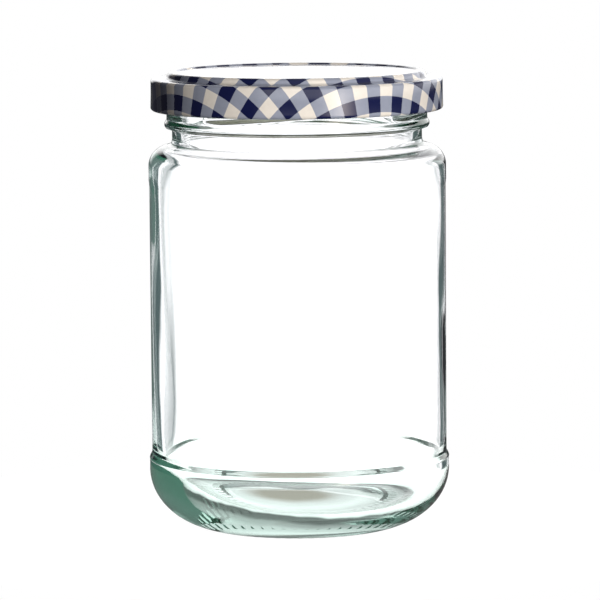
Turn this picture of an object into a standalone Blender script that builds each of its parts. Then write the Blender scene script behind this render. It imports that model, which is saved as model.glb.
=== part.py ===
"""Round glass preserving jar with its printed twist-off lid, standing upright.

The jar is turned about the Z axis. The origin is the middle of the ring that it stands on,
the front is -Y and +Z is up. All sizes are in metres.
"""

import math

import bmesh
import bpy

MM = 0.001

# Driving dimensions
PANEL_RADIUS = 37.1 * MM
JAR_HEIGHT = 112.2 * MM
WALL = 2.45 * MM
LID_RADIUS = 36.5 * MM
LID_TOP = 114.2 * MM
SKIRT_BOTTOM = 104.5 * MM
SHEET = 0.25 * MM
GAP = 0.3 * MM

# Glass body, from the standing ring up
RING_INNER_RADIUS = 22.6 * MM
PUSH_UP = 3.0 * MM
HEEL_RADIUS = PANEL_RADIUS + 0.65 * MM
HEEL_CENTRE_RADIUS = 21.74 * MM
HEEL_HEIGHT = 15.14 * MM
HEEL_SINK = 0.4 * MM
HEEL_BULGE_OUT = 1.13
HEEL_BULGE_DOWN = 0.948
PANEL_BOTTOM = 18.4 * MM
PANEL_TOP = 85.8 * MM
SHOULDER_RADIUS = PANEL_RADIUS + 0.15 * MM
SHOULDER_CORNER = 5.05 * MM
SHOULDER_HEIGHT = 90.6 * MM
FLOOR_HEIGHT = 4.3 * MM
FLOOR_CROWN = 0.6 * MM
CAVITY_CORNER_HEIGHT = 12.0 * MM
CAVITY_CORNER_WIDTH = 14.0 * MM
CAVITY_LEAN = 2.2 * MM
BODY_LEAN = 0.45 * MM

# Neck and mouth
NECK_RADIUS = 31.25 * MM
NECK_BORE = 28.95 * MM
NECK_BOTTOM = 97.2 * MM
BEAD_RADIUS = 33.15 * MM
BEAD_HEIGHT = 101.0 * MM
MOUTH_RADIUS = 32.6 * MM
MOUTH_BORE = 29.9 * MM
RIM_OUTER_CORNER = 1.5 * MM
RIM_INNER_CORNER = 1.2 * MM
RIM_RADIUS = MOUTH_BORE + RIM_INNER_CORNER

# Threads on the mouth and the lugs of the lid that catch under them
STARTS = 4
FIRST_START = math.radians(-90.0 - 44.0)
THREAD_TURN = math.radians(90.0)
THREAD_LEAD = 15.6 * MM
THREAD_DEPTH = 1.15 * MM
THREAD_RADIUS = MOUTH_RADIUS + 0.4 * MM
THREAD_LOW = 103.65 * MM
THREAD_END = math.radians(11.0)
THREAD_POINTS = 13
LUG_TURN = math.radians(74.0)
LUG_INNER_RADIUS = 33.4 * MM
LUG_OUTER_RADIUS = 35.6 * MM
LUG_WIDTH = 7.5 * MM
LUG_BOTTOM = SKIRT_BOTTOM + 0.12 * MM
LUG_THICK = 0.5 * MM

# Lid, from its middle out
TOP_PANEL = LID_TOP - 0.8 * MM
TOP_PANEL_RADIUS = 28.6 * MM
RIDGE_ROUND = 1.3 * MM
LEDGE_INNER_RADIUS = 33.3 * MM
LEDGE_HEIGHT = LID_TOP - 1.7 * MM
LID_CORNER = 0.9 * MM
CURL_ROUND = 0.85 * MM
CURL_STAND_OUT = 0.1 * MM

SIDES = 56
MERGE = 0.0001


def arc(radius, height, size_r, size_z, start, end, steps):
    """Points of an arc about (radius, height), from one angle in degrees to the other."""
    points = []
    for step in range(steps + 1):
        angle = math.radians(start + (end - start) * step / steps)
        points.append((radius + size_r * math.cos(angle), height + size_z * math.sin(angle)))
    return points


def heel(steps):
    """The jar's full rounded heel, from its widest ring down to the standing ring."""
    flat_share = HEEL_SINK / HEEL_HEIGHT
    flat_angle = math.acos((1.0 - flat_share) ** (1.0 / HEEL_BULGE_DOWN))
    reach = HEEL_RADIUS - HEEL_CENTRE_RADIUS
    points = []
    for step in range(steps + 1):
        angle = math.pi / 2 + (flat_angle - math.pi / 2) * step / steps
        radius = HEEL_CENTRE_RADIUS + reach * math.sin(angle) ** HEEL_BULGE_OUT
        height = HEEL_HEIGHT * (1.0 - max(math.cos(angle), 0.0) ** HEEL_BULGE_DOWN) - HEEL_SINK
        points.append((radius, max(height, 0.0)))
    return points


def cavity_outline():
    """The jar's inside, from the middle of the floor up to the top of the rim."""
    wall_radius = PANEL_RADIUS - WALL
    corner_radius = wall_radius - CAVITY_CORNER_WIDTH
    corner_height = FLOOR_HEIGHT + CAVITY_CORNER_HEIGHT
    points = [(0.0, FLOOR_HEIGHT + FLOOR_CROWN), (9.5 * MM, FLOOR_HEIGHT + 0.7 * FLOOR_CROWN)]
    points += arc(corner_radius, corner_height, CAVITY_CORNER_WIDTH, CAVITY_CORNER_HEIGHT, -92.0, 0.0, 7)
    points += arc(wall_radius - 2.6 * MM, SHOULDER_HEIGHT + 1.3 * MM, 2.6 * MM, 2.0 * MM, 0.0, 70.0, 3)
    points += [(NECK_BORE + 0.4 * MM, NECK_BOTTOM - 1.75 * MM), (NECK_BORE, NECK_BOTTOM - 0.4 * MM)]
    points += [(NECK_BORE + 0.3 * MM, BEAD_HEIGHT), (MOUTH_BORE, BEAD_HEIGHT + 3.6 * MM)]
    rim_height = JAR_HEIGHT - RIM_INNER_CORNER
    points += arc(RIM_RADIUS, rim_height, RIM_INNER_CORNER, RIM_INNER_CORNER, 180.0, 90.0, 3)
    return points


def outside_outline():
    """The jar's outside, from the top of the rim down and in to the middle of its base."""
    rim_height = JAR_HEIGHT - RIM_OUTER_CORNER
    points = arc(RIM_RADIUS, rim_height, RIM_OUTER_CORNER, RIM_OUTER_CORNER, 90.0, 0.0, 3)[1:]
    points += [(MOUTH_RADIUS, BEAD_HEIGHT + 1.3 * MM), (BEAD_RADIUS, BEAD_HEIGHT)]
    points += [(BEAD_RADIUS - 0.35 * MM, BEAD_HEIGHT - 0.8 * MM)]
    points += [(NECK_RADIUS + 0.3 * MM, BEAD_HEIGHT - 1.05 * MM), (NECK_RADIUS, BEAD_HEIGHT - 1.4 * MM)]
    points += [(NECK_RADIUS, NECK_BOTTOM), (NECK_RADIUS + 0.3 * MM, NECK_BOTTOM - 1.0 * MM)]
    corner_radius = SHOULDER_RADIUS - SHOULDER_CORNER
    points += arc(corner_radius, SHOULDER_HEIGHT, SHOULDER_CORNER, SHOULDER_CORNER, 84.0, 0.0, 6)
    points += [(SHOULDER_RADIUS, PANEL_TOP + 1.2 * MM), (PANEL_RADIUS, PANEL_TOP)]
    points += [(PANEL_RADIUS, PANEL_BOTTOM), (HEEL_RADIUS - 0.05 * MM, PANEL_BOTTOM - 1.5 * MM)]
    points += heel(9)
    points += [(RING_INNER_RADIUS, 0.0), (RING_INNER_RADIUS - 1.4 * MM, 0.35 * PUSH_UP)]
    points += [(0.66 * RING_INNER_RADIUS, 0.75 * PUSH_UP), (0.0, PUSH_UP)]
    return points


def lid_face():
    """The lid's printed face, from its middle out, down the skirt and round the rolled edge."""
    ridge_height = LID_TOP - RIDGE_ROUND
    points = [(0.0, TOP_PANEL), (TOP_PANEL_RADIUS, TOP_PANEL)]
    points += arc(RIM_RADIUS, ridge_height, RIDGE_ROUND, RIDGE_ROUND, 152.0, 4.0, 7)
    points += [(LEDGE_INNER_RADIUS - 0.4 * MM, LEDGE_HEIGHT + 0.1 * MM), (LEDGE_INNER_RADIUS, LEDGE_HEIGHT)]
    corner_height = LEDGE_HEIGHT - LID_CORNER
    points += arc(LID_RADIUS - LID_CORNER, corner_height, LID_CORNER, LID_CORNER, 90.0, 0.0, 3)
    points.append((LID_RADIUS, SKIRT_BOTTOM + 2.2 * MM))
    curl_radius = LID_RADIUS + CURL_STAND_OUT - CURL_ROUND
    points += arc(curl_radius, SKIRT_BOTTOM + CURL_ROUND, CURL_ROUND, CURL_ROUND, 10.0, -280.0, 8)
    return points


def offset(points, distance):
    """The same line moved sideways by a distance, to the right of the way it runs."""
    moved = []
    last = len(points) - 1
    for index, (radius, height) in enumerate(points):
        before = points[max(index - 1, 0)]
        after = points[min(index + 1, last)]
        first = math.atan2(height - before[1], radius - before[0])
        second = math.atan2(after[1] - height, after[0] - radius)
        if index == 0:
            first = second
        if index == last:
            second = first
        turn = (second - first + math.pi) % (2.0 * math.pi) - math.pi
        middle = first + turn / 2.0 - math.pi / 2.0
        reach = distance / math.cos(turn / 2.0)
        moved.append((radius + reach * math.cos(middle), height + reach * math.sin(middle)))
    moved[0] = (0.0, moved[0][1])
    return moved


def lid_outline():
    """The lid's sheet: its face, then its lacquered underside back to the middle."""
    face = lid_face()
    return face + offset(face, SHEET)[::-1]


def seal_outline():
    """The soft ring in the lid's ridge: round above, flat where it meets the rim."""
    ridge_height = LID_TOP - RIDGE_ROUND
    size = RIDGE_ROUND - SHEET - GAP
    flat = math.degrees(math.asin((ridge_height - JAR_HEIGHT - GAP) / size))
    return arc(RIM_RADIUS, ridge_height, size, size, 180.0 + flat, -flat, 6)


def material(name, colour, roughness, metallic=0.0, transmission=0.0):
    """A Principled material in one colour."""
    made = bpy.data.materials.new(name)
    made.use_nodes = True
    shader = made.node_tree.nodes["Principled BSDF"]
    shader.inputs["Base Color"].default_value = (*colour, 1.0)
    shader.inputs["Roughness"].default_value = roughness
    shader.inputs["Metallic"].default_value = metallic
    shader.inputs["Transmission Weight"].default_value = transmission
    made.diffuse_color = (*colour, 1.0)
    return made


def turned(name, outline, closed, finish, collection):
    """An outline of (radius, height) points turned about the Z axis."""
    mesh = bpy.data.meshes.new(name)
    edges = [(index, index + 1) for index in range(len(outline) - 1)]
    if closed:
        edges.append((len(outline) - 1, 0))
    mesh.from_pydata([(radius, 0.0, height) for radius, height in outline], edges, [])
    piece = bpy.data.objects.new(name, mesh)
    piece.data.materials.append(finish)
    collection.objects.link(piece)
    turn = piece.modifiers.new("Turn", "SCREW")
    turn.axis = "Z"
    turn.steps = SIDES
    turn.render_steps = SIDES
    turn.use_smooth_shade = True
    turn.use_merge_vertices = True
    turn.merge_threshold = MERGE
    return piece


def join_on(piece, additions):
    """Fuses a collection of closed shapes onto a piece."""
    union = piece.modifiers.new("Fuse", "BOOLEAN")
    union.operation = "UNION"
    union.operand_type = "COLLECTION"
    union.collection = additions
    union.solver = "EXACT"


def thread(index, finish, collection):
    """One glass thread: a round ridge that climbs to the right and sinks in at both ends."""
    curve = bpy.data.curves.new(f"thread_{index}", "CURVE")
    curve.dimensions = "3D"
    curve.bevel_depth = THREAD_DEPTH
    curve.bevel_resolution = 2
    curve.use_fill_caps = True
    line = curve.splines.new("POLY")
    line.points.add(THREAD_POINTS - 1)
    start = FIRST_START + index * 2.0 * math.pi / STARTS
    for step, point in enumerate(line.points):
        turn = THREAD_TURN * step / (THREAD_POINTS - 1)
        rise = min(turn, THREAD_TURN - turn) / THREAD_END
        fullness = math.sin(min(rise, 1.0) * math.pi / 2.0)
        radius = THREAD_RADIUS - (1.0 - fullness) * THREAD_DEPTH
        angle = start + turn
        height = THREAD_LOW + THREAD_LEAD * turn / (2.0 * math.pi)
        point.co = (radius * math.cos(angle), radius * math.sin(angle), height, 1.0)
        point.radius = 0.45 + 0.55 * fullness
    source = bpy.data.objects.new(f"thread_{index}_line", curve)
    collection.objects.link(source)
    graph = bpy.context.evaluated_depsgraph_get()
    mesh = bpy.data.meshes.new_from_object(source.evaluated_get(graph))
    ridge = bpy.data.objects.new(f"thread_{index}", mesh)
    ridge.matrix_world = source.matrix_world
    mesh.materials.clear()
    mesh.materials.append(finish)
    bpy.data.objects.remove(source)
    return ridge


def weld(mesh):
    """Closes the seams between a mesh's caps and its sides."""
    work = bmesh.new()
    work.from_mesh(mesh)
    bmesh.ops.remove_doubles(work, verts=work.verts, dist=MERGE / 10.0)
    bmesh.ops.recalc_face_normals(work, faces=work.faces)
    work.to_mesh(mesh)
    work.free()


def lug(index, finish):
    """One lug of the lid: a flat tongue pressed in from the rolled edge."""
    middle = (LUG_INNER_RADIUS + LUG_OUTER_RADIUS) / 2.0
    angle = FIRST_START + LUG_TURN + index * 2.0 * math.pi / STARTS
    height = LUG_BOTTOM + LUG_THICK / 2.0
    place = (middle * math.cos(angle), middle * math.sin(angle), height)
    bpy.ops.mesh.primitive_cube_add(size=1.0, location=place, rotation=(0.0, 0.0, angle))
    tongue = bpy.context.object
    tongue.name = f"lug_{index}"
    tongue.scale = (LUG_OUTER_RADIUS - LUG_INNER_RADIUS, LUG_WIDTH, LUG_THICK)
    bpy.ops.object.transform_apply(location=False, rotation=False, scale=True)
    rounding = tongue.modifiers.new("Round", "BEVEL")
    rounding.width = 0.3 * LUG_THICK
    rounding.segments = 1
    tongue.data.materials.append(finish)
    return tongue


def put_aside(piece, collection):
    """Keeps a shaping object out of the model: it is only joined onto another."""
    for owner in piece.users_collection:
        owner.objects.unlink(piece)
    collection.objects.link(piece)
    piece.hide_render = True
    piece.display_type = "WIRE"


def build_jar(collection, shaping):
    """The glass jar: one hollow turned body, with its threads fused on."""
    glass = material("clear_glass", (0.90, 0.95, 0.93), 0.03, transmission=1.0)
    inside = cavity_outline()
    jar = turned("jar", inside + outside_outline(), False, glass, collection)
    cavity = jar.vertex_groups.new(name="cavity")
    corner_height = FLOOR_HEIGHT + CAVITY_CORNER_HEIGHT
    for index, (_, height) in enumerate(inside):
        if height < NECK_BOTTOM - 3.0 * MM:
            share = min(max((height - FLOOR_HEIGHT) / (corner_height - FLOOR_HEIGHT), 0.0), 1.0)
            cavity.add([index], 1.0 - share * (1.0 - BODY_LEAN / CAVITY_LEAN), "REPLACE")
    lean = jar.modifiers.new("Lean", "DISPLACE")
    lean.direction = "X"
    lean.vertex_group = "cavity"
    lean.mid_level = 0.0
    lean.strength = CAVITY_LEAN
    threads = bpy.data.collections.new("jar_threads")
    shaping.children.link(threads)
    for index in range(STARTS):
        ridge = thread(index, glass, collection)
        weld(ridge.data)
        put_aside(ridge, threads)
    join_on(jar, threads)
    return jar


def build_lid(collection, shaping):
    """The lid: one thin sheet, ridged, skirted and rolled under, with its four lugs."""
    print_finish = material("printed_tinplate", (0.42, 0.43, 0.50), 0.30)
    lid = turned("lid", lid_outline(), False, print_finish, collection)
    lugs = bpy.data.collections.new("lid_lugs")
    shaping.children.link(lugs)
    for index in range(STARTS):
        put_aside(lug(index, print_finish), lugs)
    join_on(lid, lugs)
    return lid


def build_seal(collection):
    """The soft sealing ring between the lid and the rim."""
    compound = material("sealing_compound", (0.80, 0.77, 0.70), 0.60)
    return turned("seal_ring", seal_outline(), True, compound, collection)


def main():
    """Clears the scene and builds the jar, its lid and the ring between them."""
    for old in list(bpy.data.objects):
        bpy.data.objects.remove(old)
    model = bpy.data.collections.new("round_glass_jar")
    shaping = bpy.data.collections.new("shaping")
    bpy.context.scene.collection.children.link(model)
    bpy.context.scene.collection.children.link(shaping)
    build_jar(model, shaping)
    build_lid(model, shaping)
    build_seal(model)


main()
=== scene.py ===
"""Looks for a round glass preserving jar with its check-printed twist-off lid.

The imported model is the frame: the jar and the lid are modelled again here at full fineness on
the same sizes, and the sealing ring keeps its solid and gets a better finish.
"""

import logging
import math
from dataclasses import dataclass
from enum import Enum
from typing import Callable

import bpy
import numpy as np
from mathutils import Matrix, Vector
from mathutils.kdtree import KDTree


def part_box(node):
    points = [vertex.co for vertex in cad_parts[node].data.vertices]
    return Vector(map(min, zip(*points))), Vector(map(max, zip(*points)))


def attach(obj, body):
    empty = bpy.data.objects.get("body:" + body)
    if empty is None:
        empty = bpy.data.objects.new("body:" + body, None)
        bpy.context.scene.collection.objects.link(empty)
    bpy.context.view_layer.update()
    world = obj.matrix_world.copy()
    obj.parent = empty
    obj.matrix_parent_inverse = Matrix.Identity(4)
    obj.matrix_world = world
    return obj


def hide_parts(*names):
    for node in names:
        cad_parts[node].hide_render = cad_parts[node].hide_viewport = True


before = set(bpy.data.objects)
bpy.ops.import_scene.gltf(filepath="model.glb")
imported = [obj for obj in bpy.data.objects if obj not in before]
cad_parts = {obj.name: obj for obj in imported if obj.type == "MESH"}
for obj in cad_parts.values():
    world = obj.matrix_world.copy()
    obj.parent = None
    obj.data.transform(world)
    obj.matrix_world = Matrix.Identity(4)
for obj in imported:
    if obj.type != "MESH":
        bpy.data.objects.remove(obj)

MM = 0.001
# Width of the square that the lid's flat layout spans, with the lid's middle in its middle
BLANK = 100.0 * MM
WHITE = (1.0, 1.0, 1.0)
LOG = logging.getLogger("glass_jar")

Point = tuple[float, float]
Colour = tuple[float, float, float]
Stop = tuple[float, Colour]
Stretch = Callable[[float, float], float]
Socket = bpy.types.NodeSocket


class SheetSide(Enum):
    """The two finishes of the lid's sheet, as material slots."""

    PRINTED = 0
    LACQUERED = 1


# Outlines


def arc(centre: Point, reach: Point, start: float, end: float, steps: int = 12) -> list[Point]:
    """Works out points along an arc of an ellipse.

    Args:
        centre: Radius and height of the arc's centre.
        reach: Half sizes along the radius and the height.
        start: First angle in degrees.
        end: Last angle in degrees.
        steps: Number of stretches.

    Returns:
        The points, both ends included.
    """
    points = []
    for step in range(steps + 1):
        angle = math.radians(start + (end - start) * step / steps)
        radius = centre[0] + reach[0] * math.cos(angle)
        height = centre[1] + reach[1] * math.sin(angle)
        points.append((radius, height))
    return points


def soften(points: list[Point], spread: float, spacing: float = 0.08 * MM) -> np.ndarray:
    """Rounds an outline's corners, as fire polishing or pressing does.

    Args:
        points: The outline, from end to end.
        spread: Length along the outline over which a corner is rounded.
        spacing: Distance between the points that come back.

    Returns:
        Evenly spaced points of the rounded outline, with both ends kept.
    """
    line = np.array(points)
    steps = np.hypot(*np.diff(line, axis=0).T)
    along = np.concatenate([[0.0], np.cumsum(steps)])
    count = max(int(along[-1] / spacing), 2)
    even = np.linspace(0.0, along[-1], count)
    dense = np.stack([np.interp(even, along, line[:, axis]) for axis in (0, 1)], axis=1)
    half = max(int(spread / spacing / 2), 1)
    kernel = np.hanning(2 * half + 3)[1:-1]
    kernel /= kernel.sum()
    mirrored = [2.0 * dense[0] - dense[half:0:-1], dense, 2.0 * dense[-1] - dense[-2:-half - 2:-1]]
    padded = np.concatenate(mirrored)
    return np.stack([np.convolve(padded[:, axis], kernel, "valid") for axis in (0, 1)], axis=1)


def thin_out(line: np.ndarray, turn: float, longest: Stretch) -> list[Point]:
    """Keeps only the outline points that its shape needs.

    Args:
        line: Evenly spaced points.
        turn: Largest bend in degrees between two kept points.
        longest: Gives the longest stretch allowed at a radius and a height.

    Returns:
        The kept points, with both ends.
    """
    kept = [tuple(line[0])]
    heading = np.degrees(np.unwrap(np.arctan2(*np.diff(line, axis=0).T[::-1])))
    bend = 0.0
    length = 0.0
    for index in range(1, len(line) - 1):
        bend += abs(heading[index] - heading[index - 1])
        length += math.dist(line[index], line[index - 1])
        if bend >= turn or length >= longest(*line[index]):
            kept.append(tuple(line[index]))
            bend = 0.0
            length = 0.0
    kept.append(tuple(line[-1]))
    return kept


def offset(line: np.ndarray, distance: float) -> np.ndarray:
    """Moves an outline sideways, to the right of the way it runs, for a sheet's other face.

    Args:
        line: The outline, which starts at the axis.
        distance: How far it moves.

    Returns:
        The moved outline, which starts at the axis as well.
    """
    run = np.gradient(line, axis=0)
    run /= np.hypot(run[:, 0], run[:, 1])[:, None]
    moved = line + distance * np.stack([run[:, 1], -run[:, 0]], axis=1)
    moved[0, 0] = line[0, 0]
    return moved


def smooth_step(value: np.ndarray) -> np.ndarray:
    """Eases a value from 0 to 1 with flat ends."""
    held = np.clip(value, 0.0, 1.0)
    return held * held * (3.0 - 2.0 * held)


# Turning and dressing


def turn_outline(name: str, outline: list[Point], columns: int) -> bpy.types.Object:
    """Draws an outline by extruding one vertex and spins it about the Z axis.

    Args:
        name: The piece's name.
        outline: Radius and height of each point.
        columns: Number of steps round.

    Returns:
        The closed turned piece, at the origin.
    """
    bpy.ops.object.select_all(action="DESELECT")
    bpy.ops.mesh.primitive_plane_add(size=1.0, location=(0.0, 0.0, 0.0))
    piece = bpy.context.object
    piece.name = name
    piece.data.name = name
    bpy.ops.object.mode_set(mode="EDIT")
    bpy.ops.mesh.select_all(action="SELECT")
    bpy.ops.mesh.merge(type="CENTER")
    radius, height = outline[0]
    bpy.ops.transform.translate(value=(radius, 0.0, height))
    for before, after in zip(outline, outline[1:]):
        step = (after[0] - before[0], 0.0, after[1] - before[1])
        bpy.ops.mesh.extrude_region_move(TRANSFORM_OT_translate={"value": step})
    bpy.ops.mesh.select_all(action="SELECT")
    full_turn = 2.0 * math.pi
    bpy.ops.mesh.spin(steps=columns, angle=full_turn, center=(0.0, 0.0, 0.0), axis=(0.0, 0.0, 1.0))
    bpy.ops.mesh.select_all(action="SELECT")
    bpy.ops.mesh.remove_doubles(threshold=0.004 * MM)
    bpy.ops.mesh.normals_make_consistent(inside=False)
    bpy.ops.object.mode_set(mode="OBJECT")
    bpy.ops.object.shade_smooth()
    return piece


def read_points(piece: bpy.types.Object) -> np.ndarray:
    """Reads a mesh's vertices.

    Args:
        piece: The mesh object.

    Returns:
        One row of x, y and z for each vertex.
    """
    flat = np.empty(len(piece.data.vertices) * 3)
    piece.data.vertices.foreach_get("co", flat)
    return flat.reshape(-1, 3)


def write_points(piece: bpy.types.Object, points: np.ndarray) -> None:
    """Writes an array back as a mesh's vertices."""
    piece.data.vertices.foreach_set("co", points.ravel())
    piece.data.update()


class NodeBench:
    """Adds and links the nodes of one node tree."""

    def __init__(self, tree: bpy.types.NodeTree) -> None:
        """Takes the tree to work on."""
        self.tree = tree

    def add(self, kind: str, **values: object) -> bpy.types.Node:
        """Adds a node and sets its properties and its sockets.

        Args:
            kind: The node's type name.
            **values: Properties by name, or socket values by name with underscores for blanks.

        Returns:
            The new node.
        """
        node = self.tree.nodes.new(kind)
        for key, value in values.items():
            if hasattr(node, key):
                setattr(node, key, value)
            else:
                node.inputs[key.replace("_", " ")].default_value = value
        return node

    def link(self, source: Socket, target: Socket) -> None:
        """Joins two sockets."""
        self.tree.links.new(source, target)

    def math(self, operation: str, first: object, second: object = 0.0) -> Socket:
        """Adds a Math node on sockets or numbers.

        Args:
            operation: The node's operation.
            first: The first socket or number.
            second: The second socket or number.

        Returns:
            The result.
        """
        node = self.add("ShaderNodeMath", operation=operation)
        for socket, value in zip(node.inputs, (first, second)):
            if isinstance(value, Socket):
                self.link(value, socket)
            else:
                socket.default_value = value
        return node.outputs[0]

    def spread(self, value: Socket, *limits: float) -> Socket:
        """Maps a value to a range.

        Args:
            value: The value.
            *limits: The range's two ends, after the value's own two ends if those aren't 0 and 1.

        Returns:
            The mapped value.
        """
        node = self.add("ShaderNodeMapRange")
        self.link(value, node.inputs["Value"])
        names = ("From Min", "From Max", "To Min", "To Max")[4 - len(limits):]
        for name, limit in zip(names, limits):
            node.inputs[name].default_value = limit
        return node.outputs["Result"]

    def blend(self, share: Socket, first: object, second: object) -> Socket:
        """Mixes two colours, each a socket or a plain value.

        Args:
            share: 0 for the first colour, 1 for the second.
            first: The first colour.
            second: The second colour.

        Returns:
            The mixed colour.
        """
        node = self.add("ShaderNodeMix", data_type="RGBA")
        self.link(share, node.inputs["Factor"])
        for socket, colour in zip(node.inputs[6:8], (first, second)):
            if isinstance(colour, Socket):
                self.link(colour, socket)
            else:
                socket.default_value = (*colour, 1.0)
        return node.outputs[2]

    def ramp(self, value: Socket, stops: list[Stop], ease: str = "LINEAR") -> Socket:
        """Adds a colour ramp.

        Args:
            value: The value that runs along the ramp.
            stops: Place and colour of each stop, in order.
            ease: The way the colours run into each other.

        Returns:
            The ramp's colour.
        """
        node = self.add("ShaderNodeValToRGB")
        self.link(value, node.inputs["Fac"])
        node.color_ramp.interpolation = ease
        elements = node.color_ramp.elements
        elements[0].position, elements[1].position = stops[0][0], stops[-1][0]
        for place, _ in stops[1:-1]:
            elements.new(place)
        for element, (_, colour) in zip(elements, stops):
            element.color = (*colour, 1.0)
        return node.outputs["Color"]


class MaterialBench(NodeBench):
    """Adds and links the shader nodes of one material."""

    def __init__(self, name: str) -> None:
        """Starts an empty material with a Principled shader."""
        self.material = bpy.data.materials.new(name)
        self.material.use_nodes = True
        super().__init__(self.material.node_tree)
        self.shader = self.tree.nodes["Principled BSDF"]
        self.output = self.tree.nodes["Material Output"]

    def set(self, **values: object) -> None:
        """Sets plain values on the shader's own sockets."""
        for key, value in values.items():
            self.shader.inputs[key.replace("_", " ")].default_value = value

    def noise(self, scale: float, detail: float, coordinates: Socket) -> Socket:
        """Adds a noise texture.

        Args:
            scale: The noise's scale.
            detail: The noise's detail.
            coordinates: Where it is read.

        Returns:
            The noise's value, from 0 to 1.
        """
        node = self.add("ShaderNodeTexNoise", Scale=scale, Detail=detail)
        self.link(coordinates, node.inputs["Vector"])
        return node.outputs["Fac"]

    def object_place(self) -> Socket:
        """Gives the point's place on the piece."""
        return self.add("ShaderNodeTexCoord").outputs["Object"]

    def bump(self, height: Socket, strength: float, distance: float) -> None:
        """Raises the shader's surface by a height pattern.

        Args:
            height: The pattern, from 0 to 1.
            strength: The bump's strength.
            distance: The height of a full bump.
        """
        node = self.add("ShaderNodeBump", Strength=strength, Distance=distance)
        self.link(height, node.inputs["Height"])
        self.link(node.outputs["Normal"], self.shader.inputs["Normal"])

    def roughen(self, pattern: Socket, *limits: float) -> None:
        """Lets the roughness drift between two limits by a pattern."""
        self.link(self.spread(pattern, *limits), self.shader.inputs["Roughness"])

    def tone(self, pattern: Socket, colour: Colour, darkest: float) -> None:
        """Lets the colour drift by a pattern.

        Args:
            pattern: The pattern, from 0 to 1.
            colour: The lightest tone.
            darkest: The darkest tone's share of the lightest.
        """
        low, mid, high = colour
        dark = (darkest * low, darkest * mid, darkest * high)
        toned = self.ramp(pattern, [(0.0, dark), (1.0, colour)])
        self.link(toned, self.shader.inputs["Base Color"])


# Finishes


@dataclass(frozen=True)
class ClearGlass:
    """Clear container glass: neutral in the wall, green where it is thick."""

    tint: Colour = (0.52, 0.85, 0.73)
    density: float = 40.0
    heel_tint: Colour = (0.93, 0.985, 0.97)
    wall_tint: Colour = (1.0, 1.0, 1.0)
    heel_top: float = 7.0 * MM
    heel_fade: float = 0.45
    ior: float = 1.52

    def make(self) -> bpy.types.Material:
        """Builds the material: refraction, faint ripples and absorption through its thickness.

        Returns:
            The material.
        """
        bench = MaterialBench("clear_glass")
        place = bench.object_place()
        bench.set(IOR=self.ior, Transmission_Weight=1.0, Roughness=0.0)
        height = bench.add("ShaderNodeSeparateXYZ")
        bench.link(place, height.inputs["Vector"])
        share = bench.math("DIVIDE", height.outputs["Z"], self.heel_top)
        tints = bench.ramp(share, [(self.heel_fade, self.heel_tint), (1.0, self.wall_tint)])
        bench.link(tints, bench.shader.inputs["Base Color"])
        bench.bump(bench.noise(70.0, 1.0, place), 0.10, 0.4 * MM)
        volume = bench.add("ShaderNodeVolumeAbsorption", Density=self.density)
        volume.inputs["Color"].default_value = (*self.tint, 1.0)
        bench.link(volume.outputs["Volume"], bench.output.inputs["Volume"])
        return bench.material


@dataclass(frozen=True)
class CheckPrint:
    """Navy and cream check printed on the flat sheet before pressing, under a gloss varnish."""

    pitch: float = 7.88 * MM
    turn: float = 34.1
    shift: Point = (0.526, 0.546)
    cream: Colour = (0.80, 0.745, 0.68)
    half_tone: Colour = (0.29, 0.315, 0.40)
    navy: Colour = (0.006, 0.009, 0.055)
    edge: float = 0.014

    def stripe(self, bench: NodeBench, value: Socket) -> Socket:
        """Gives 1 on a stripe and 0 off it, with the slightly soft edge of print.

        Args:
            bench: The material's bench.
            value: Place across the stripes, in pitches.

        Returns:
            The stripe's share.
        """
        wave = bench.math("ABSOLUTE", bench.math("SUBTRACT", bench.math("FRACT", value), 0.5))
        return bench.spread(wave, 0.25 - self.edge / 2.0, 0.25 + self.edge / 2.0, 0.0, 1.0)

    def make(self) -> bpy.types.Material:
        """Builds the material on the sheet's flat layout.

        Returns:
            The material.
        """
        bench = MaterialBench("printed_tinplate")
        layout = bench.add("ShaderNodeUVMap", uv_map="flat_blank")
        turned = bench.add("ShaderNodeMapping")
        scale = BLANK / self.pitch
        turned.inputs["Rotation"].default_value = (0.0, 0.0, math.radians(-self.turn))
        turned.inputs["Scale"].default_value = (scale, scale, 1.0)
        centred = bench.add("ShaderNodeVectorMath", operation="SUBTRACT")
        centred.inputs[1].default_value = (0.5, 0.5, 0.0)
        bench.link(layout.outputs["UV"], centred.inputs[0])
        bench.link(centred.outputs["Vector"], turned.inputs["Vector"])
        across = bench.add("ShaderNodeSeparateXYZ")
        bench.link(turned.outputs["Vector"], across.inputs["Vector"])
        stripes = []
        for axis, shift in zip("XY", self.shift):
            moved = bench.math("ADD", across.outputs[axis], shift - 0.25)
            stripes.append(self.stripe(bench, moved))
        ink = bench.math("MULTIPLY", bench.math("ADD", *stripes), 0.5)
        tones = bench.ramp(ink, [(0.0, self.cream), (0.5, self.half_tone), (1.0, self.navy)])
        place = bench.object_place()
        mottle = bench.spread(bench.noise(900.0, 3.0, place), 0.93, 1.07)
        shade = bench.add("ShaderNodeVectorMath", operation="SCALE")
        bench.link(tones, shade.inputs[0])
        bench.link(mottle, shade.inputs["Scale"])
        bench.link(shade.outputs["Vector"], bench.shader.inputs["Base Color"])
        bench.roughen(bench.noise(240.0, 2.0, place), 0.30, 0.42)
        bench.set(Specular_IOR_Level=0.0, Coat_Weight=1.0, Coat_Roughness=0.10, Coat_IOR=1.5)
        bench.bump(bench.noise(420.0, 2.0, place), 0.05, 0.2 * MM)
        return bench.material


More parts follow.
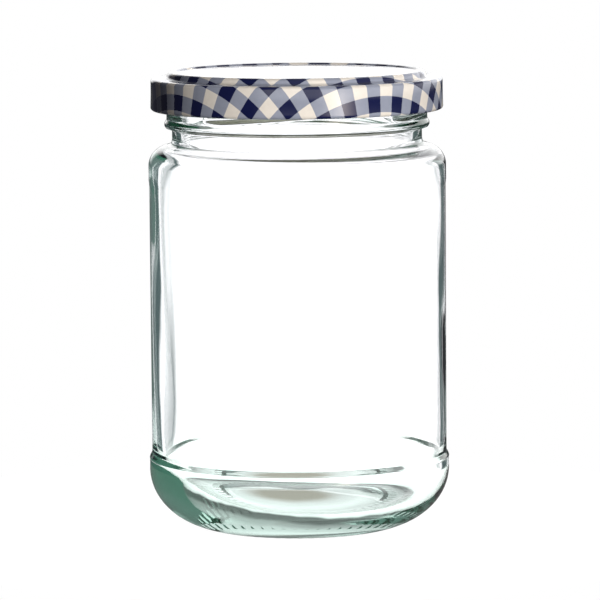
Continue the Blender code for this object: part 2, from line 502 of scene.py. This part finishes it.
@dataclass(frozen=True)
class PaleLacquer:
    """The pale food lacquer on the lid's underside."""

    colour: Colour = (0.62, 0.57, 0.43)

    def make(self) -> bpy.types.Material:
        """Builds the material with a faint drift in tone.

        Returns:
            The material.
        """
        bench = MaterialBench("pale_lacquer")
        place = bench.object_place()
        bench.tone(bench.noise(120.0, 4.0, place), self.colour, 0.92)
        bench.roughen(bench.noise(300.0, 2.0, place), 0.22, 0.34)
        bench.bump(bench.noise(500.0, 2.0, place), 0.05, 0.2 * MM)
        return bench.material


@dataclass(frozen=True)
class SealingCompound:
    """The soft cream ring that the rim beds into."""

    colour: Colour = (0.74, 0.70, 0.60)

    def make(self) -> bpy.types.Material:
        """Builds the material: matt, with the fine unevenness of a poured ring.

        Returns:
            The material.
        """
        bench = MaterialBench("sealing_compound")
        place = bench.object_place()
        bench.tone(bench.noise(350.0, 3.0, place), self.colour, 0.88)
        bench.roughen(bench.noise(350.0, 3.0, place), 0.5, 0.7)
        bench.bump(bench.noise(600.0, 3.0, place), 0.2, 0.1 * MM)
        return bench.material


# Sub-assemblies


@dataclass
class GlassJar:
    """The glass: one closed hollow body, turned, then given its threads and notches."""

    height: float
    heel_radius: float
    wall: float = 2.45 * MM
    lean: float = 2.2 * MM
    body_lean: float = 0.45 * MM
    panel_radius: float = 37.1 * MM
    panel_top: float = 85.8 * MM
    panel_bottom: float = 18.4 * MM
    shoulder_radius: float = 37.25 * MM
    shoulder_bottom: float = 87.0 * MM
    shoulder_corner: float = 5.05 * MM
    shoulder_height: float = 90.6 * MM
    inner_shoulder: Point = (2.6 * MM, 2.0 * MM)
    inner_shoulder_rise: float = 1.3 * MM
    heel_top: float = 17.4 * MM
    heel_centre: float = 21.74 * MM
    heel_height: float = 15.14 * MM
    heel_sink: float = 0.4 * MM
    heel_bulge: Point = (1.13, 0.948)
    heel_steps: int = 60
    heel_turn: float = 1.275
    ring_inner: float = 22.6 * MM
    ring_outer: float = 24.83 * MM
    push_up: float = 3.0 * MM
    floor: float = 4.3 * MM
    cavity_corner: Point = (14.0 * MM, 12.0 * MM)
    neck_radius: float = 31.25 * MM
    neck_bore: float = 28.95 * MM
    neck_bottom: float = 97.2 * MM
    bead_radius: float = 33.15 * MM
    bead_height: float = 101.0 * MM
    mouth_radius: float = 32.6 * MM
    mouth_bore: float = 29.9 * MM
    rim_corners: Point = (1.2 * MM, 1.5 * MM)
    thread_starts: int = 4
    first_thread: float = -134.0
    thread_turn: float = 90.0
    thread_lead: float = 15.6 * MM
    thread_low: float = 103.65 * MM
    thread_half: float = 1.3 * MM
    thread_depth: float = 1.5 * MM
    thread_end: float = 12.0
    seam_height: float = 17.1 * MM
    seam_half: float = 0.12 * MM
    seam_rise: float = 0.08 * MM
    notches: int = 56
    notch_depth: float = 0.28 * MM
    ripples: tuple[tuple[float, float, float, float], ...] = (
        (0.45, 5.0, 1.3, 22.0), (0.35, 9.0, 0.4, -55.0), (0.3, 14.0, 2.1, 90.0),
    )
    ripple_depth: float = 0.10 * MM
    bend: float = 5.0
    columns: int = 336

    def heel(self) -> list[Point]:
        """Draws the full rounded heel, from its widest ring down to the standing ring.

        Returns:
            Radius and height of each point.
        """
        reach = self.heel_radius - self.heel_centre
        bulge_out, bulge_down = self.heel_bulge
        points = []
        for step in range(self.heel_steps + 1):
            angle = math.radians(90.0 - self.heel_turn * step)
            radius = self.heel_centre + reach * math.sin(angle) ** bulge_out
            height = self.heel_height * (1.0 - max(math.cos(angle), 0.0) ** bulge_down)
            height -= self.heel_sink
            if height > 0.0:
                points.append((radius, height))
        return points

    def cavity(self) -> list[Point]:
        """Draws the inside, from the middle of the floor up to the top of the rim.

        Returns:
            Radius and height of each point.
        """
        wall_radius = self.panel_radius - self.wall
        width, rise = self.cavity_corner
        inner, _ = self.rim_corners
        points = [(0.0, self.floor + 0.6 * MM), (9.5 * MM, self.floor + 0.4 * MM)]
        points += arc((wall_radius - width, self.floor + rise), (width, rise), -92.0, 0.0, 40)
        shoulder_middle = wall_radius - self.inner_shoulder[0]
        shoulder = (shoulder_middle, self.shoulder_height + self.inner_shoulder_rise)
        points += arc(shoulder, self.inner_shoulder, 0.0, 70.0)
        points += [
            (self.neck_bore + 0.4 * MM, self.neck_bottom - 1.75 * MM),
            (self.neck_bore, self.neck_bottom - 0.4 * MM),
            (self.neck_bore + 0.3 * MM, self.bead_height),
            (self.mouth_bore, self.bead_height + 3.6 * MM),
        ]
        points += arc((self.mouth_bore + inner, self.height - inner), (inner, inner), 180.0, 90.0)
        return points

    def outside(self) -> list[Point]:
        """Draws the outside, from the top of the rim down and in to the middle of the base.

        Returns:
            Radius and height of each point.
        """
        inner, outer = self.rim_corners
        rim = (self.mouth_bore + inner, self.height - outer)
        points = arc(rim, (outer, outer), 90.0, 0.0)[1:]
        points += [
            (self.mouth_radius, self.bead_height + 1.3 * MM),
            (self.bead_radius, self.bead_height + 0.4 * MM),
            (self.bead_radius, self.bead_height - 0.3 * MM),
            (self.bead_radius - 0.35 * MM, self.bead_height - 0.85 * MM),
            (self.neck_radius + 0.2 * MM, self.bead_height - 1.05 * MM),
            (self.neck_radius, self.bead_height - 1.3 * MM),
            (self.neck_radius, self.neck_bottom),
            (self.neck_radius + 0.3 * MM, self.neck_bottom - 1.0 * MM),
        ]
        corner = self.shoulder_corner
        shoulder = (self.shoulder_radius - corner, self.shoulder_height)
        points += arc(shoulder, (corner, corner), 84.0, 0.0, 24)
        points += [
            (self.shoulder_radius, self.shoulder_bottom),
            (self.panel_radius, self.panel_top),
            (self.panel_radius, self.panel_bottom),
            (self.heel_radius - 0.1 * MM, self.heel_top),
        ]
        points += self.heel()
        points += [
            (self.ring_outer, 0.0),
            (self.ring_inner, 0.0),
            (self.ring_inner - 1.4 * MM, 0.35 * self.push_up),
            (0.66 * self.ring_inner, 0.75 * self.push_up),
            (0.0, self.push_up),
        ]
        return points

    def mark_seam(self, line: np.ndarray) -> np.ndarray:
        """Raises the fine line that the joint of the mould leaves round the top of the heel.

        Args:
            line: The outside, as evenly spaced points.

        Returns:
            The outside with the line on it.
        """
        radius, height = line.T
        rise = self.seam_rise * np.exp(-((height - self.seam_height) / self.seam_half) ** 2)
        return np.stack([radius + np.where(radius > self.neck_radius, rise, 0.0), height], axis=1)

    def stretch(self, radius: float, height: float) -> float:
        """Gives the longest stretch between kept outline points, short at threads and seam.

        Args:
            radius: The point's radius.
            height: The point's height.

        Returns:
            The stretch.
        """
        if radius > self.neck_radius and abs(height - self.seam_height) < 2.5 * self.seam_half:
            return 0.1 * MM
        at_mouth = radius > self.mouth_radius - 0.2 * MM
        if at_mouth and self.bead_height < height < self.height - 2.5 * MM:
            return 0.3 * MM
        standing = height < 0.5 * MM
        return 0.4 * MM if standing else 4.5 * MM

    def raise_threads(self, points: np.ndarray) -> None:
        """Raises the four threads out of the mouth's wall, each sinking in at both ends.

        Args:
            points: The vertices, changed in place.
        """
        x, y, z = points.T
        radius = np.hypot(x, y)
        wall = (radius > self.mouth_radius - 0.15 * MM) & (z > self.bead_height + 0.2 * MM)
        bearing = np.degrees(np.arctan2(y, x))
        rise = np.zeros(len(points))
        for index in range(self.thread_starts):
            start = self.first_thread + 360.0 * index / self.thread_starts
            turn = (bearing - start) % 360.0
            middle = self.thread_low + self.thread_lead * turn / 360.0
            ends = np.minimum(turn, self.thread_turn - turn) / self.thread_end
            fullness = np.sin(np.clip(ends, 0.0, 1.0) * math.pi / 2.0)
            half = self.thread_half * (0.45 + 0.55 * fullness)
            across = np.clip(1.0 - ((z - middle) / half) ** 2, 0.0, 1.0)
            ridge = self.thread_depth * fullness * across ** 1.4
            rise = np.maximum(rise, np.where((turn < self.thread_turn) & wall, ridge, 0.0))
        share = 1.0 + rise / np.maximum(radius, MM)
        points[:, 0] *= share
        points[:, 1] *= share

    def notch_ring(self, points: np.ndarray) -> None:
        """Presses the row of shallow notches into the standing ring.

        Args:
            points: The vertices, changed in place.
        """
        x, y, z = points.T
        radius = np.hypot(x, y)
        middle = (self.ring_inner + self.ring_outer) / 2.0
        across = smooth_step(1.0 - (np.abs(radius - middle) - 0.7 * MM) / (0.9 * MM))
        round_it = 0.5 - 0.5 * np.cos(self.notches * np.arctan2(y, x))
        low = (z < 1.2 * MM) & (radius > 15.0 * MM)
        points[:, 2] += np.where(low, self.notch_depth * across * round_it ** 2, 0.0)

    def lean_cavity(self, points: np.ndarray, cavity: np.ndarray) -> None:
        """Sets the cavity a little to the right and gives its wall the ripples of blown glass.

        Args:
            points: The vertices, changed in place.
            cavity: Which vertices are inside.
        """
        x, y, z = points.T
        top = self.neck_bottom - 3.0 * MM
        rise = np.clip((z - self.floor) / self.cavity_corner[1], 0.0, 1.0)
        lean = self.lean + (self.body_lean - self.lean) * rise
        bearing = np.arctan2(y, x)
        waves = np.zeros(len(points))
        for share, count, phase, climb in self.ripples:
            waves += share * np.sin(count * bearing + phase + climb * z)
        above_heel = smooth_step((z - 12.0 * MM) / (10.0 * MM))
        body = above_heel * smooth_step((92.0 * MM - z) / (8.0 * MM))
        ripple = 1.0 + self.ripple_depth * waves * body / np.maximum(np.hypot(x, y), MM)
        points[:, 0] = np.where(cavity, x * ripple + lean * smooth_step((top - z) / (2.0 * MM)), x)
        points[:, 1] = np.where(cavity, y * ripple, y)

    def build(self) -> bpy.types.Object:
        """Turns the glass, shapes its details and dresses it.

        Returns:
            The finished glass.
        """
        inside = soften(self.cavity(), 1.6 * MM)
        outside = self.mark_seam(soften(self.outside(), 0.5 * MM))
        outline = thin_out(inside, self.bend, self.stretch)
        outline += thin_out(outside, self.bend, self.stretch)[1:]
        glass = turn_outline("jar_glass", outline, self.columns)
        points = read_points(glass)
        tree = KDTree(len(inside) + len(outside))
        for index, (radius, height) in enumerate(np.concatenate([inside, outside])):
            tree.insert((radius, 0.0, height), index)
        tree.balance()
        nearest = [tree.find((math.hypot(x, y), 0.0, z))[1] for x, y, z in points]
        self.lean_cavity(points, np.array(nearest) < len(inside))
        self.raise_threads(points)
        self.notch_ring(points)
        write_points(glass, points)
        glass.data.materials.append(ClearGlass().make())
        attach(glass, "root")
        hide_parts("jar")
        return glass


@dataclass
class TwistLid:
    """The lid: one thin sheet, printed flat, then ridged, skirted and rolled under."""

    radius: float
    top: float
    skirt_bottom: float
    sheet: float = 0.25 * MM
    panel_radius: float = 29.6 * MM
    panel_drop: float = 0.45 * MM
    ridge_middle: float = 31.1 * MM
    ridge_round: float = 1.3 * MM
    ledge_inner: float = 33.3 * MM
    ledge_drop: float = 1.7 * MM
    corner: float = 0.9 * MM
    curl: float = 0.85 * MM
    curl_stand_out: float = 0.1 * MM
    lugs: int = 4
    first_lug: float = -60.0
    lug_half_width: float = 5.6
    lug_reach: float = 1.5 * MM
    bend: float = 9.0
    longest: float = 3.0 * MM
    columns: int = 288

    def face(self) -> list[Point]:
        """Draws the printed face, from the middle out, down the skirt and round the rolled edge.

        Returns:
            Radius and height of each point.
        """
        side = self.radius - self.curl_stand_out
        panel = self.top - self.panel_drop
        ledge = self.top - self.ledge_drop
        rounding, corner = self.ridge_round, self.corner
        points = [(0.0, panel), (self.panel_radius, panel)]
        ridge = (self.ridge_middle, self.top - rounding)
        points += arc(ridge, (rounding, rounding), 140.0, 4.0, 24)
        points += [(self.ledge_inner - 0.4 * MM, ledge + 0.1 * MM), (self.ledge_inner, ledge)]
        points += arc((side - corner, ledge - corner), (corner, corner), 90.0, 0.0, 14)
        points.append((side, self.skirt_bottom + 2.2 * MM))
        centre = (self.radius - self.curl, self.skirt_bottom + self.curl)
        points += arc(centre, (self.curl, self.curl), 10.0, -280.0, 40)
        return points

    def lay_out(self, lid: bpy.types.Object, face: np.ndarray, under: np.ndarray) -> None:
        """Lays each point of the sheet back on its flat blank and picks each face's finish.

        Args:
            lid: The turned lid.
            face: The printed outline.
            under: The lacquered outline.
        """
        steps = np.hypot(*np.diff(face, axis=0).T)
        flat = np.concatenate([[0.0], np.cumsum(steps)])
        tree = KDTree(len(face) + len(under))
        for index, (radius, height) in enumerate(np.concatenate([face, under])):
            tree.insert((radius, 0.0, height), index)
        tree.balance()
        layout = lid.data.uv_layers.new(name="flat_blank")
        points = read_points(lid)
        nearest = [tree.find((math.hypot(x, y), 0.0, z))[1] % len(face) for x, y, z in points]
        spots = []
        for (x, y, _), index in zip(points, nearest):
            share = flat[index] / BLANK / max(math.hypot(x, y), 0.01 * MM)
            spots.append((0.5 + x * share, 0.5 + y * share))
        for loop in lid.data.loops:
            layout.data[loop.index].uv = spots[loop.vertex_index]
        for patch in lid.data.polygons:
            x, y, z = patch.center
            printed = tree.find((math.hypot(x, y), 0.0, z))[1] < len(face)
            patch.material_index = (SheetSide.PRINTED if printed else SheetSide.LACQUERED).value

    def press_lugs(self, points: np.ndarray) -> None:
        """Presses the rolled edge inwards into the four flat lugs.

        Args:
            points: The vertices, changed in place.
        """
        x, y, z = points.T
        radius = np.hypot(x, y)
        bearing = np.degrees(np.arctan2(y, x))
        pitch = 360.0 / self.lugs
        away = np.abs((bearing - self.first_lug + pitch / 2.0) % pitch - pitch / 2.0)
        window = smooth_step((self.lug_half_width + 1.6 - away) / 2.4)
        middle = self.radius - self.curl
        rolled = z < self.skirt_bottom + 2.05 * self.curl
        pull = np.where(rolled, np.clip((middle - radius) / self.curl, 0.0, 1.0), 0.0) * window
        share = 1.0 - self.lug_reach * smooth_step(pull) / np.maximum(radius, MM)
        flat = self.skirt_bottom + 0.1 * MM + 0.3 * (z - self.skirt_bottom)
        points[:, 0] *= share
        points[:, 1] *= share
        points[:, 2] = z + (flat - z) * smooth_step(2.0 * pull)

    def build(self) -> bpy.types.Object:
        """Turns the sheet, presses its lugs, lays out its print and dresses it.

        Returns:
            The finished lid.
        """
        face = soften(self.face(), 0.5 * MM, 0.05 * MM)
        under = offset(face, self.sheet)
        printed = thin_out(face, self.bend, lambda radius, height: self.longest)
        lacquered = thin_out(under[::-1], self.bend, lambda radius, height: self.longest)
        lid = turn_outline("lid_sheet", printed + lacquered, self.columns)
        self.lay_out(lid, face, under)
        points = read_points(lid)
        self.press_lugs(points)
        write_points(lid, points)
        lid.data.materials.append(CheckPrint().make())
        lid.data.materials.append(PaleLacquer().make())
        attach(lid, "root")
        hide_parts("lid")
        return lid


@dataclass
class SealRing:
    """The soft sealing ring, which keeps its own solid."""

    node: str = "seal_ring"

    def build(self) -> bpy.types.Object:
        """Gives the ring its finish.

        Returns:
            The dressed ring.
        """
        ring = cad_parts[self.node]
        finish = SealingCompound().make()
        if not ring.material_slots:
            ring.data.materials.append(finish)
        for place in ring.material_slots:
            place.material = finish
        return ring


@dataclass(frozen=True)
class SoftLight:
    """A soft rectangle of light that the glass and the varnish don't mirror."""

    name: str
    bearing: float
    distance: float
    height: float
    size: Point
    power: float
    colour: Colour = (1.0, 0.97, 0.93)
    aim_height: float = 0.06

    def hang(self) -> bpy.types.Object:
        """Hangs the light at its bearing from the front, aimed at the jar.

        Returns:
            The light.
        """
        light = bpy.data.lights.new(self.name, "AREA")
        light.shape = "RECTANGLE"
        light.size, light.size_y = self.size
        light.energy = self.power
        light.color = self.colour
        hung = bpy.data.objects.new(self.name, light)
        hung.visible_transmission = False
        hung.visible_glossy = False
        bpy.context.scene.collection.objects.link(hung)
        bearing = math.radians(self.bearing)
        place = Vector((math.sin(bearing), -math.cos(bearing), 0.0)) * self.distance
        place.z = self.height
        aim = Vector((0.0, 0.0, self.aim_height)) - place
        turn = aim.to_track_quat("-Z", "Y").to_matrix().to_4x4()
        hung.matrix_world = Matrix.Translation(place) @ turn
        return hung


@dataclass
class Studio:
    """The lit table, the tent round it, the two soft lights and the camera."""

    floor_radius: float = 0.11
    camera_distance: float = 1.066
    camera_height: float = 0.1824
    pitch: float = 6.74
    roll: float = 0.45
    focal_pixels: float = 4271.0
    image_pixels: float = 600.0
    centre_column: float = 298.3
    sensor: float = 36.0
    panel: Colour = (1.68, 1.56, 1.64)
    gap: Colour = (0.11, 0.15, 0.155)
    gap_edges: tuple[float, float, float, float] = (14.5, 18.0, 33.0, 36.0)
    horizon: Colour = (1.7, 1.7, 1.7)
    ceiling: Colour = (0.45, 0.45, 0.45)
    below: Colour = (0.07, 0.075, 0.08)
    tent_levels: tuple[float, float, float, float] = (0.485, 0.515, 0.65, 0.75)
    overhead: Colour = (0.34, 0.32, 0.34)
    overhead_rise: Point = (0.08, 0.20)
    underfoot: Colour = (0.26, 0.25, 0.21)
    underfoot_fall: Point = (-0.42, -0.60)
    long_way: Point = (6.9, 8.9)
    dark_side: Colour = (0.05, 0.05, 0.07)
    dark_bearing: float = -85.0
    dark_half: Point = (72.0, 60.0)
    room: float = 0.02
    glow: Colour = (8.0, 7.2, 6.4)
    glow_bearing: float = 35.0
    glow_half: float = 22.0
    lights: tuple[SoftLight, ...] = (
        SoftLight("key", 25.0, 1.25, 0.3, (0.4, 1.0), 20.5),
        SoftLight("fill_behind", 155.0, 1.15, 0.8, (0.4, 0.4), 20.0),
    )
    oval_stretch: float = 1.17
    oval_shift: float = 3.0 * MM
    waver: float = 1.5 * MM
    table_reach: float = 50.0
    table_inner: float = 6.0
    # Painted shade and light glowing from the table, seen only through the glass: a dim middle and
    # a dark ring under the heel stand in for the jar's shadow
    painted_shade_centre: Colour = (0.49, 0.43, 0.35)
    table: tuple[Point, ...] = (
        (13.0, 1.1), (17.0, 1.3), (22.0, 0.9), (25.0, 0.5),
        (26.8, 0.14), (28.6, 0.14), (29.6, 1.2), (31.0, 1.6),
    )
    # The table's dim glow in reflections and to other surfaces, a painted dark reflection of the
    # floor
    table_dim_glow: float = 0.12
    bounces: int = 32

    def lay_floor(self) -> bpy.types.Object:
        """Lays a round pale table that glows: plain white to the camera, dim in gloss, with painted
        rings of shade and light behind glass.

        Returns:
            The table.
        """
        bpy.ops.object.select_all(action="DESELECT")
        bpy.ops.mesh.primitive_circle_add(vertices=96, radius=self.floor_radius, fill_type="NGON")
        floor = bpy.context.object
        floor.name = "floor"
        bench = MaterialBench("pale_floor")
        bench.set(Base_Color=(0.05, 0.05, 0.05, 1.0), Roughness=0.9)
        bench.set(Specular_IOR_Level=0.0, Emission_Strength=1.0)
        path = bench.add("ShaderNodeLightPath")
        plain = (self.table_dim_glow, self.table_dim_glow, self.table_dim_glow)
        # Through the glass the table glows with its painted rings of shade and light, and after a
        # long way round in the glass it glows dimmer, a painted shade
        through = bench.blend(self.long_share(bench, path), self.painted_shade_rings(bench), self.overhead)
        seen = bench.blend(path.outputs["Is Transmission Ray"], plain, through)
        seen = bench.blend(path.outputs["Is Camera Ray"], seen, WHITE)
        bench.link(seen, bench.shader.inputs["Emission Color"])
        floor.data.materials.append(bench.material)
        return floor

    def painted_shade_rings(self, bench: MaterialBench) -> Socket:
        """Draws the table's slightly wavy oval rings of painted light and shade: a painted shadow
        ring under the jar's heel and painted shade under its middle.

        Args:
            bench: The bench of the floor's material.

        Returns:
            The rings' colour.
        """
        place = bench.object_place()
        oval = bench.add("ShaderNodeMapping")
        oval.inputs["Location"].default_value = (self.oval_shift / self.oval_stretch, 0.0, 0.0)
        oval.inputs["Scale"].default_value = (1.0 / self.oval_stretch, 1.0, 1.0)
        bench.link(place, oval.inputs["Vector"])
        reach = bench.add("ShaderNodeVectorMath", operation="LENGTH")
        bench.link(oval.outputs["Vector"], reach.inputs[0])
        waver = bench.spread(bench.noise(90.0, 2.0, place), -self.waver, self.waver)
        wavered = bench.math("ADD", reach.outputs["Value"], waver)
        stops = [(self.table_inner / self.table_reach, self.painted_shade_centre)]
        stops += [(radius / self.table_reach, (light,) * 3) for radius, light in self.table]
        return bench.ramp(bench.math("DIVIDE", wavered, self.table_reach * MM), stops, "EASE")

    def raise_tent(self) -> None:
        """Puts up the tent: white to the camera, with a look of its own in glass and in gloss."""
        world = bpy.data.worlds.new("white_tent")
        bpy.context.scene.world = world
        world.use_nodes = True
        bench = NodeBench(world.node_tree)
        heading = bench.add("ShaderNodeSeparateXYZ")
        bench.link(bench.add("ShaderNodeTexCoord").outputs["Generated"], heading.inputs["Vector"])
        bearing = bench.math("ARCTAN2", heading.outputs["X"], heading.outputs["Y"])
        level = heading.outputs["Z"]
        path = bench.add("ShaderNodeLightPath")
        tent = self.behind_glass(bench, bearing, level)
        through = bench.blend(self.long_share(bench, path), tent, self.overhead)
        dim = (self.room, self.room, self.room)
        seen = bench.blend(path.outputs["Is Glossy Ray"], dim, self.in_gloss(bench, bearing, level))
        seen = bench.blend(path.outputs["Is Transmission Ray"], seen, through)
        seen = bench.blend(path.outputs["Is Camera Ray"], seen, WHITE)
        bench.link(seen, world.node_tree.nodes["Background"].inputs["Color"])

    def behind_glass(self, bench: NodeBench, bearing: Socket, level: Socket) -> Socket:
        """Draws the tent behind glass: white panels, narrow dark gaps, dim above and below.

        Args:
            bench: The world's bench.
            bearing: Where the ray heads, round the jar.
            level: How much of the ray heads upwards, from -1 to 1.

        Returns:
            The tent's colour.
        """
        quarters = bench.math("ADD", bench.math("MULTIPLY", bearing, 2.0 / math.pi), 0.5)
        away = bench.math("SUBTRACT", bench.math("FRACT", quarters), 0.5)
        share = bench.math("MULTIPLY", bench.math("ABSOLUTE", away), 2.0)
        colours = (self.panel, self.gap, self.gap, self.panel)
        stops = [(edge / 45.0, colour) for edge, colour in zip(self.gap_edges, colours)]
        high = bench.spread(level, *self.overhead_rise, 0.0, 1.0)
        low = bench.spread(level, *self.underfoot_fall, 0.0, 1.0)
        tent = bench.blend(high, bench.ramp(share, stops), self.overhead)
        return bench.blend(low, tent, self.underfoot)

    def in_gloss(self, bench: NodeBench, bearing: Socket, level: Socket) -> Socket:
        """Draws the tent in gloss: bright at the horizon, dark at the left, with one warm glow.

        Args:
            bench: The world's bench.
            bearing: Where the ray heads, round the jar.
            level: How much of the ray heads upwards, from -1 to 1.

        Returns:
            The tent's colour.
        """
        colours = (self.below, self.horizon, self.horizon, self.ceiling)
        rise = bench.spread(level, -1.0, 1.0, 0.0, 1.0)
        tent = bench.ramp(rise, list(zip(self.tent_levels, colours)))
        glow_at = math.radians(180.0 - self.glow_bearing)
        aside = bench.math("ABSOLUTE", bench.math("SUBTRACT", bearing, glow_at))
        patch = bench.spread(aside, math.radians(self.glow_half), 0.0, 0.0, 1.0)
        patch = bench.math("MULTIPLY", patch, patch)
        patch = bench.math("MULTIPLY", patch, self.glow_share(bench, level))
        dark_at = math.radians(self.dark_bearing)
        beside = bench.math("ABSOLUTE", bench.math("SUBTRACT", bearing, dark_at))
        shade = bench.spread(beside, *[math.radians(edge) for edge in self.dark_half], 0.0, 1.0)
        return bench.blend(patch, bench.blend(shade, tent, self.dark_side), self.glow)

    def long_share(self, bench: NodeBench, path: bpy.types.Node) -> Socket:
        """Gives 0 for light seen straight through the glass and 1 after a long way round in it."""
        return bench.spread(path.outputs["Ray Depth"], *self.long_way, 0.0, 1.0)

    def glow_share(self, bench: NodeBench, level: Socket) -> Socket:
        """Gives 1 near the level of the lid's reflection and 0 high up or far down."""
        off_level = bench.math("ABSOLUTE", bench.math("ADD", level, 0.08))
        return bench.spread(off_level, 0.35, 0.10, 0.0, 1.0)

    def place_camera(self) -> bpy.types.Object:
        """Sets the camera at the photograph's place, tilt and framing.

        Returns:
            The camera.
        """
        lens = bpy.data.cameras.new("camera")
        lens.sensor_width = self.sensor
        lens.lens = self.focal_pixels / self.image_pixels * self.sensor
        lens.shift_x = (self.image_pixels / 2.0 - self.centre_column) / self.image_pixels
        camera = bpy.data.objects.new("camera", lens)
        bpy.context.scene.collection.objects.link(camera)
        tilt = Matrix.Rotation(math.radians(90.0 - self.pitch), 4, "X")
        roll = Matrix.Rotation(math.radians(-self.roll), 4, "Z")
        place = Matrix.Translation(Vector((0.0, -self.camera_distance, self.camera_height)))
        camera.matrix_world = place @ tilt @ roll
        bpy.context.scene.camera = camera
        return camera

    def build(self) -> None:
        """Builds the whole studio."""
        self.lay_floor()
        self.raise_tent()
        for light in self.lights:
            light.hang()
        self.place_camera()
        scene = bpy.context.scene
        scene.view_settings.view_transform = "Standard"
        scene.cycles.max_bounces = self.bounces
        scene.cycles.transmission_bounces = self.bounces
        scene.cycles.glossy_bounces = self.bounces


def main() -> None:
    """Builds each sub-assembly in order."""
    logging.basicConfig(level=logging.INFO, format="%(name)s: %(message)s")
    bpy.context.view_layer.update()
    _, jar_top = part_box("jar")
    lid_low, lid_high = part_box("lid")
    pieces = [
        GlassJar(height=jar_top.z, heel_radius=jar_top.x).build(),
        TwistLid(radius=lid_high.x, top=lid_high.z, skirt_bottom=lid_low.z).build(),
        SealRing().build(),
    ]
    for piece in pieces:
        LOG.info("%s: %d faces", piece.name, len(piece.data.polygons))
    Studio().build()


if __name__ == "__main__":
    main()
